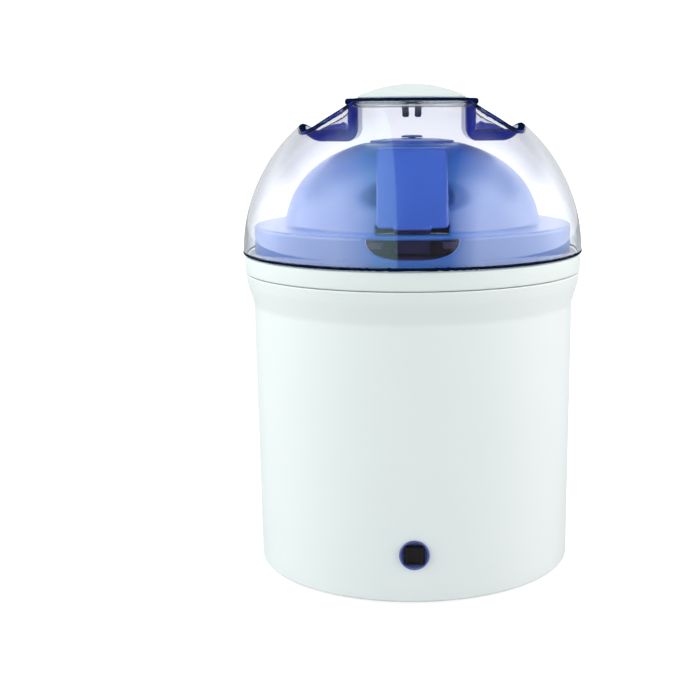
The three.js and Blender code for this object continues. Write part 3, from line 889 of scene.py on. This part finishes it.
def pocket_space(x, y, rise):
    """The two finger pockets, one on each side of the plateau. Their ends lean in as they rise."""
    half = POCKET_HALF - 6 * MM * np.clip((rise - 52.4 * MM) / (19 * MM), 0, 1.5)
    return round_both(9 * MM, pocket_section(x, rise), np.abs(y) - half)


def ball_field(r, rise):
    """The outer dome's ellipsoid, with a slight lip at its foot."""
    up = np.maximum(rise, 0)
    near = np.sqrt((r / DOME_R) ** 2 + (up / DOME_TALL) ** 2)
    slope = np.sqrt((r / DOME_R ** 2) ** 2 + (up / DOME_TALL ** 2) ** 2)
    ball = near * (near - 1) / np.maximum(slope, 1e-6)
    return ball - 0.4 * MM * np.exp(-((rise + 0.5 * MM) / (1.6 * MM)) ** 2)


def dome_skin(x, y, rise):
    """The outer dome's skin: an ellipsoid cut flat on top, with pockets and a lip over each of them."""
    ball = ball_field(np.sqrt(x * x + y * y), rise)
    top = PLATEAU - RING_TOP
    body = smooth_max(ball, rise - top, 0.9 * MM)
    body = smooth_max(body, -pocket_space(x, y, rise), 2 * MM)
    bow, reach = 71.7 * MM, 31.5 * MM  # the lip's edge is an arc of radius bow that reaches this far out
    lens = np.sqrt((np.abs(x) + bow - reach) ** 2 + y * y) - bow
    lip = round_both(1.3 * MM, lens, np.abs(rise - top + 1.5 * MM) - 1.5 * MM)
    lip = smooth_max(lip, ball, 1 * MM)
    return smooth_min(body, lip, 0.9 * MM)


def dome_field(x, y, z):
    """The dome's wall, open below, with a hole in the plateau for the clip."""
    rise = z - RING_TOP
    skin = dome_skin(x, y, rise)
    shell = round_both(0.8 * MM, skin, -(skin + DOME_WALL), DOME_LOW - z)
    clip_hole = np.maximum(np.sqrt(x * x + y * y) - 3.3 * MM, 60 * MM - rise)
    return smooth_max(shell, -clip_hole, 0.3 * MM)


def dome_cast(x, y, z):
    """The material of each place: 0 clear; 1 royal blue in the pockets' walls and floors, partly the
    plastic's tint and partly painted shade; 2 near-black painted shade along edges.
    """
    rise = z - RING_TOP
    space = np.abs(pocket_space(x, y, rise))
    ball = np.abs(ball_field(np.sqrt(x * x + y * y), rise))
    walls = (np.abs(pocket_section(x, rise)) < 2.6 * MM) & (space < 3.5 * MM) & (np.abs(y) < 28.5 * MM)
    rim = (space < 2.6 * MM) & (ball < 2.4 * MM)
    lip = (np.abs(x) > 28.6 * MM) & (rise > 67.5 * MM)
    corner = (z > PLATEAU - 1.2 * MM) & (ball < 0.4 * MM)
    foot = z < DOME_LOW + 1.5 * MM
    return np.where(rim | lip | corner | foot, 2, np.where(walls, 1, 0)).astype(np.int32)


def make_dome():
    cell = 0.85 * MM
    reach = DOME_LIP_R + 3 * cell
    low = (-reach, -reach, DOME_LOW - 3 * cell)
    high = (reach, reach, PLATEAU + 3 * cell)
    dome = field_mesh("clear_dome", dome_field, low, high, cell, [dome_clear, dome_royal_painted_shade, dome_edge_painted_shade])
    middles = np.empty(len(dome.data.polygons) * 3)
    dome.data.polygons.foreach_get("center", middles)
    cast = dome_cast(*middles.reshape(-1, 3).T)
    dome.data.polygons.foreach_set("material_index", cast)
    return settle(dome, "outer_cover", "dome_clear", "dome_cover")


def make_cap():
    """The white cap: a low crown with a plain oval ridge on its front slope."""
    low, high = low_of("cap")[2], high_of("cap")[2]
    radius = high_of("cap")[0]
    rim = low + 0.9 * MM
    crown = []
    for k in range(1, 65):
        r = radius * (1 - k / 64)
        crown.append((r, rim + (high - rim) * (1 - (r / radius) ** 2)))
    outline = [(0, low), (radius - 0.3 * MM, low), (radius, low + 0.3 * MM), (radius, rim - 0.2 * MM)]
    cap = turned("white_cap_piece", outline + crown, white_cap)
    centre_y = -14 * MM
    half_x, half_y = 7.6 * MM, 7.5 * MM
    ridge, sharpness = 0.3 * MM, 10
    for vertex in cap.data.vertices:
        if vertex.co.z < rim:
            continue
        off = math.hypot(vertex.co.x / half_x, (vertex.co.y - centre_y) / half_y) - 1
        vertex.co.z += ridge * math.exp(-((off * sharpness) ** 2))
    return settle(cap, "outer_cover", "cap_white", "cap")


def clip_field(x, y, z):
    """The cap's clip: a collar under the plateau, a stem through it and two prongs that lean apart."""
    rise = z - RING_TOP
    r = np.sqrt(x * x + y * y)
    under = PLATEAU - RING_TOP - DOME_WALL - 0.3 * MM
    collar = round_both(0.3 * MM, r - 5.7 * MM, np.abs(rise - under + 0.6 * MM) - 0.6 * MM)
    stem = np.maximum(r - 3 * MM, np.abs(rise - under - 0.8 * MM) - 1.9 * MM)
    half = (under - CLIP_LOW) / 2
    lean = 0.03 * (rise - CLIP_LOW)
    side = np.abs(np.abs(x) - 2.9 * MM - lean) - 1.6 * MM
    prong = round_both(0.8 * MM, side, np.abs(y) - 2.2 * MM, np.abs(rise - CLIP_LOW - half) - half)
    return smooth_min(smooth_min(collar, stem, 0.3 * MM), prong, 0.5 * MM)


def make_clip():
    cell = 0.35 * MM
    reach = 7 * MM
    low = (-reach, -reach, RING_TOP + 61.5 * MM)
    high = (reach, reach, PLATEAU + 1 * MM)
    clip = field_mesh("split_clip", clip_field, low, high, cell, navy)
    return settle(clip, "outer_cover", "clip_navy", "cap_clip")


# ---- CAD nodes that stay ----
def finish_cad_nodes():
    """Round edges and the real finish for the plain pieces that the frame already has right."""
    finishes = {
        "bottom_cover": white_shell, "cord_gland": gland_rubber, "heater_plate": aluminium,
        "heater_element": steel, "thermostat": hidden_black, "thermal_fuse": steel,
        "terminal_block": white_lid, "lead_switch": insulation, "lead_heater": insulation,
        "lead_inlet": insulation, "switch_body": hidden_black,
        "screw_1": steel, "screw_2": steel, "screw_3": steel, "screw_4": steel,
    }
    for name, finish in finishes.items():
        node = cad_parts[name]
        node.data.materials.clear()
        node.data.materials.append(finish)
        for polygon in node.data.polygons:
            polygon.material_index = 0
        bevel = node.modifiers.new("edges", "BEVEL")
        bevel.width = 0.25 * MM
        bevel.segments = 2
        bevel.limit_method = "ANGLE"
        bevel.angle_limit = math.radians(40)


# ---- stage, light and camera ----
LIGHT_AIM = 0.13  # height that the panels stand round
# The room's light by how far to the side a place lies, from -1 at the far left to 1 at the far right.
# Two tall soft boxes stop short of the camera, which leaves a dim slit that the gloss shows.
COOL, TEAL = (0.95, 0.99, 1.0), (0.64, 0.98, 0.95)
ROOM = [
    (-1, 2.4, COOL), (-0.78, 2.4, COOL), (-0.6, 1.7, COOL), (-0.4, 1.1, TEAL), (-0.175, 0.9, TEAL),
    (-0.165, 0.12, COOL), (0.415, 0.12, COOL), (0.425, 0.25, COOL), (0.52, 0.9, COOL), (0.70, 2.4, COOL),
    (1, 2.4, COOL),
]
ROOM_PEAK = 2.4


def seen(tree):
    """1 on a ray from the camera, straight or through something clear; 0 on one that lights or reflects."""
    path = tree.nodes.new("ShaderNodeLightPath")
    bounces = math_node(tree, "ADD", path.outputs["Diffuse Depth"], path.outputs["Glossy Depth"])
    straight = math_node(tree, "LESS_THAN", bounces, 0.5)
    either = math_node(tree, "MAXIMUM", path.outputs["Is Camera Ray"], path.outputs["Is Transmission Ray"])
    return math_node(tree, "MULTIPLY", straight, either)


def add_floor():
    """A white sweep: it looks as white as the background, and returns about half of its light."""
    mesh = bpy.data.meshes.new("floor")
    half = 4.0
    corners = [(-half, -half, 0), (half, -half, 0), (half, half, 0), (-half, half, 0)]
    mesh.from_pydata(corners, [], [(0, 1, 2, 3)])
    made, tree, bsdf = nodes_of("pale_floor")
    bsdf.inputs["Roughness"].default_value = 0.7
    bsdf.inputs["Specular IOR Level"].default_value = 0.1
    blend_colours(tree, noise(tree, 3, 2), (0.50, 0.50, 0.50), (0.52, 0.52, 0.52), bsdf.inputs["Base Color"])
    bsdf.inputs["Emission Color"].default_value = (1, 1, 1, 1)
    link(tree, math_node(tree, "MULTIPLY", seen(tree), 0.85), bsdf.inputs["Emission Strength"])
    floor = new_object("floor", mesh, made)


def add_fill(name, turn, tilt, radiance, tint=(1, 1, 1), distance=1.1):
    """An upright soft panel that lights without showing in the gloss. turn and tilt are its (first, last)
    edges in degrees, seen from the object: turn 0 is behind the camera, positive to the right."""
    low, high = [distance * math.tan(math.radians(edge)) for edge in tilt]
    data = bpy.data.lights.new(name, "AREA")
    data.shape = "RECTANGLE"
    data.size = 2 * distance * math.tan(math.radians(turn[1] - turn[0]) / 2)
    data.size_y = high - low
    data.energy = radiance * math.pi * data.size * data.size_y
    data.color = tint
    lamp = bpy.data.objects.new(name, data)
    across = math.radians(sum(turn) / 2)
    outward = Vector((math.sin(across), -math.cos(across), 0))
    lamp.location = outward * distance + Vector((0, 0, LIGHT_AIM + (low + high) / 2))
    lamp.rotation_euler = (-outward).to_track_quat("-Z", "Y").to_euler()
    lamp.visible_camera = False
    lamp.visible_glossy = False
    lamp.visible_transmission = False
    bpy.context.scene.collection.objects.link(lamp)


def add_light():
    add_fill("left_fill", (-108, -52), (-6, 52), 0.4)
    add_fill("right_fill", (54, 108), (-6, 52), 0.45)
    add_fill("front_fill", (-35, 35), (-6, 40), 0.38, (1, 0.985, 1))


def add_world():
    """White where the camera sees it. What lights the object is the room, with a pale wall behind it whose
    upper corners are dark in reflections."""
    world = bpy.data.worlds.new("studio")
    world.use_nodes = True
    bpy.context.scene.world = world
    tree = world.node_tree
    white = tree.nodes["Background"]
    white.inputs["Color"].default_value = (1, 1, 1, 1)
    white.inputs["Strength"].default_value = 1.2
    boxes = tree.nodes.new("ShaderNodeBackground")
    boxes.inputs["Strength"].default_value = ROOM_PEAK
    wall = tree.nodes.new("ShaderNodeBackground")
    where = tree.nodes.new("ShaderNodeTexCoord")
    parts = tree.nodes.new("ShaderNodeSeparateXYZ")
    link(tree, where.outputs["Generated"], parts.inputs["Vector"])
    across = ranged(tree, parts.outputs["X"], (-1, 1), (0, 1))
    stops = [((side + 1) / 2, [light / ROOM_PEAK * c for c in tint]) for side, light, tint in ROOM]
    link(tree, ramp(tree, across, stops), boxes.inputs["Color"])
    path = tree.nodes.new("ShaderNodeLightPath")
    above = ranged(tree, parts.outputs["Z"], (0.25, 0.5), (0, 1), True)
    above = math_node(tree, "MULTIPLY", above, path.outputs["Is Glossy Ray"])
    aside = ranged(tree, math_node(tree, "ABSOLUTE", parts.outputs["X"]), (0.1, 0.3), (0, 1), True)
    above = math_node(tree, "MULTIPLY", above, aside)
    wall.inputs["Color"].default_value = (0.96, 0.98, 1, 1)
    link(tree, ranged(tree, above, (0, 1), (0.85, 0.06)), wall.inputs["Strength"])
    behind = math_node(tree, "MULTIPLY_ADD", above, 0.3, parts.outputs["Y"])
    room = tree.nodes.new("ShaderNodeMixShader")
    link(tree, ranged(tree, behind, (0.3, 0.85), (0, 1), True), room.inputs["Fac"])
    link(tree, boxes.outputs["Background"], room.inputs[1])
    link(tree, wall.outputs["Background"], room.inputs[2])
    mix = tree.nodes.new("ShaderNodeMixShader")
    link(tree, seen(tree), mix.inputs["Fac"])
    link(tree, room.outputs["Shader"], mix.inputs[1])
    link(tree, white.outputs["Background"], mix.inputs[2])
    link(tree, mix.outputs["Shader"], tree.nodes["World Output"].inputs["Surface"])


def add_camera():
    """The main view: from as high as the plateau, tilted down by 11 degrees."""
    data = bpy.data.cameras.new("camera")
    data.sensor_width = 36
    data.lens = 66.35
    data.shift_x = -0.0903
    camera = bpy.data.objects.new("camera", data)
    down, lean = 0.1917, 0.0059
    tilt = Matrix.Rotation(math.pi / 2 - down, 4, "X")
    roll = Matrix.Rotation(-lean, 4, "Z")
    camera.matrix_world = Matrix.Translation((0, -0.62, 0.2227)) @ tilt @ roll
    bpy.context.scene.collection.objects.link(camera)
    bpy.context.scene.camera = camera


def build():
    add_camera()
    make_base()
    make_bezel()
    make_key()
    make_jar()
    make_lid()
    make_inner_cover()
    make_strap()
    make_pocket()
    make_disc()
    make_hub()
    make_dome()
    make_cap()
    make_clip()
    finish_cad_nodes()
    add_floor()
    add_light()
    add_world()
    view = bpy.context.scene.view_settings
    view.view_transform = "Standard"
    view.look = "None"


build()
